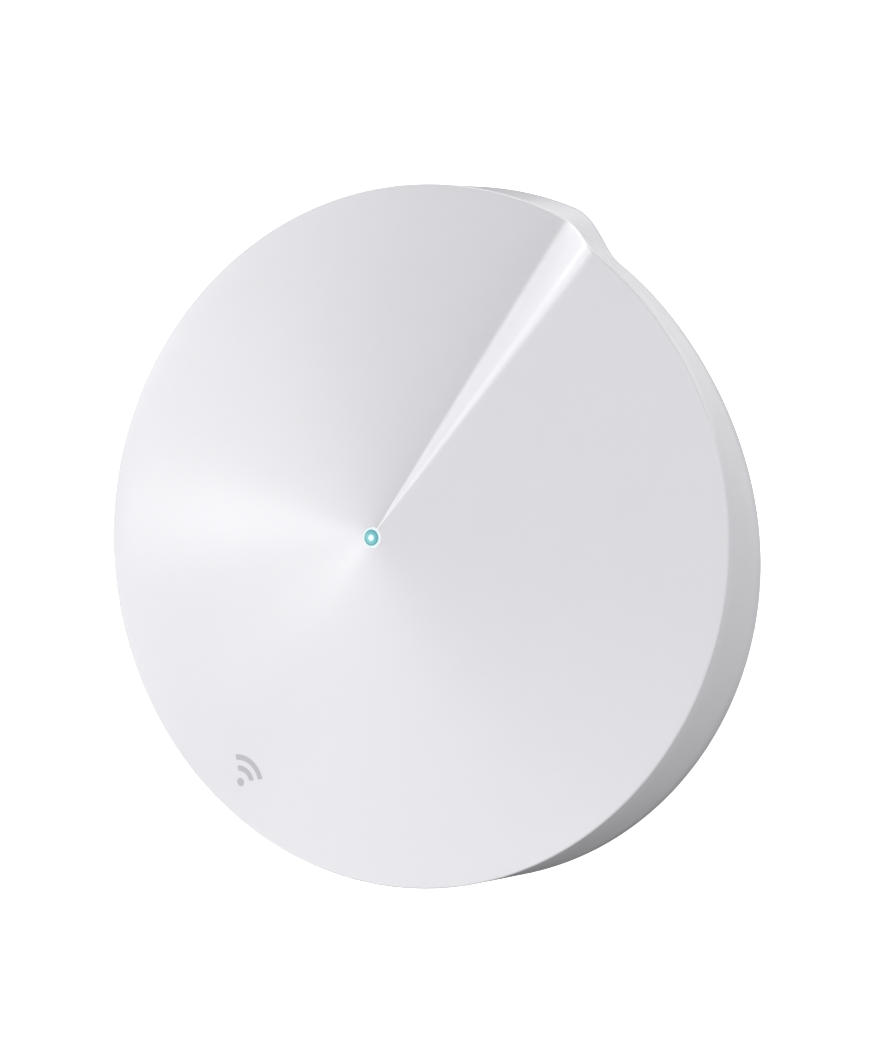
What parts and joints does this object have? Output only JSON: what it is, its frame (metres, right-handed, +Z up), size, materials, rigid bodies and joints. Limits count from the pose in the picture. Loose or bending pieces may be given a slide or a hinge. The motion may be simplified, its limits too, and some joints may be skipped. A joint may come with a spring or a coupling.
{
  "type": "wireless router",
  "caption": "Low round mesh wireless router: a folded cone face with a small status light, an inset lower tray, and network and power sockets in the rear wall.",
  "frame": {"origin": "on the surface that the feet stand on, under the middle of the round rim", "axes": "+Z up through the status light, +Y to the rear where the sockets are, +X to the right when seen from the front"},
  "size_m": [0.122, 0.1202, 0.038],
  "materials": {
    "gloss_white": "polished moulded plastic with a faint lavender cast",
    "satin_white": "fine spark texture",
    "light_teal": "diffusing lens lit from behind",
    "clear": "clear moulded acrylic",
    "grey_rubber": "matt moulded rubber",
    "label_grey": "blank polyester label",
    "board_green": "solder mask over glass laminate",
    "chip_black": "moulded epoxy package",
    "socket_black": "moulded nylon",
    "tin": "tinned sheet",
    "gold": "gold plated spring contact",
    "steel": "zinc plated steel",
    "aluminium": "plain rolled sheet",
    "pad_blue": "soft silicone thermal pad",
    "ferrite": "pressed ferrite powder",
    "led_white": "white package with a clear window"
  },
  "bodies": {
    "router": {"top_cover": "gloss_white", "base_case": "satin_white", "port_frame": "satin_white", "antenna_carrier": "satin_white", "light_lens": "light_teal", "light_pipe": "clear", "foot_rear_right": "grey_rubber", "foot_rear_left": "grey_rubber", "foot_front_left": "grey_rubber", "foot_front_right": "grey_rubber", "rating_label": "label_grey", "main_board": "board_green", "processor_chip": "chip_black", "memory_chip": "chip_black", "radio_chip_left": "chip_black", "radio_chip_right": "chip_black", "power_chip": "chip_black", "lan_transformer": "chip_black", "ethernet_insert_left": "socket_black", "ethernet_insert_right": "socket_black", "usb_c_tongue": "socket_black", "ethernet_shell_left": "tin", "ethernet_shell_right": "tin", "usb_c_shell": "tin", "processor_shield": "tin", "radio_shield_left": "tin", "radio_shield_right": "tin", "antenna_right": "tin", "antenna_left": "tin", "antenna_front_left": "tin", "antenna_front_right": "tin", "ethernet_contacts_left": "gold", "ethernet_contacts_right": "gold", "case_screw_rear_right": "steel", "case_screw_rear_left": "steel", "case_screw_front_left": "steel", "case_screw_front_right": "steel", "board_screw_left": "steel", "board_screw_right": "steel", "board_screw_front_left": "steel", "board_screw_front_right": "steel", "reset_switch_body": "steel", "heat_spreader": "aluminium", "capacitor_input": "aluminium", "capacitor_core": "aluminium", "processor_pad": "pad_blue", "radio_pad_left": "pad_blue", "radio_pad_right": "pad_blue", "inductor_input": "ferrite", "inductor_core": "ferrite", "status_led": "led_white"},
    "reset_button": {"reset_button": "grey_rubber"},
    "reset_plunger": {"reset_switch_plunger": "chip_black"}
  },
  "joints": [
    {"name": "reset_press", "type": "slide", "parent": "router", "child": "reset_button", "axis": [0, 0, 1], "range_m": [0, 0.0005], "stiffness_N_per_m": 400},
    {"name": "plunger_press", "type": "slide", "parent": "router", "child": "reset_plunger", "axis": [0, 0, 1], "range_m": [0, 0.0005]}
  ],
  "couplings": [
    {"joint": "plunger_press", "follows": "reset_press", "ratio": 1}
  ]
}
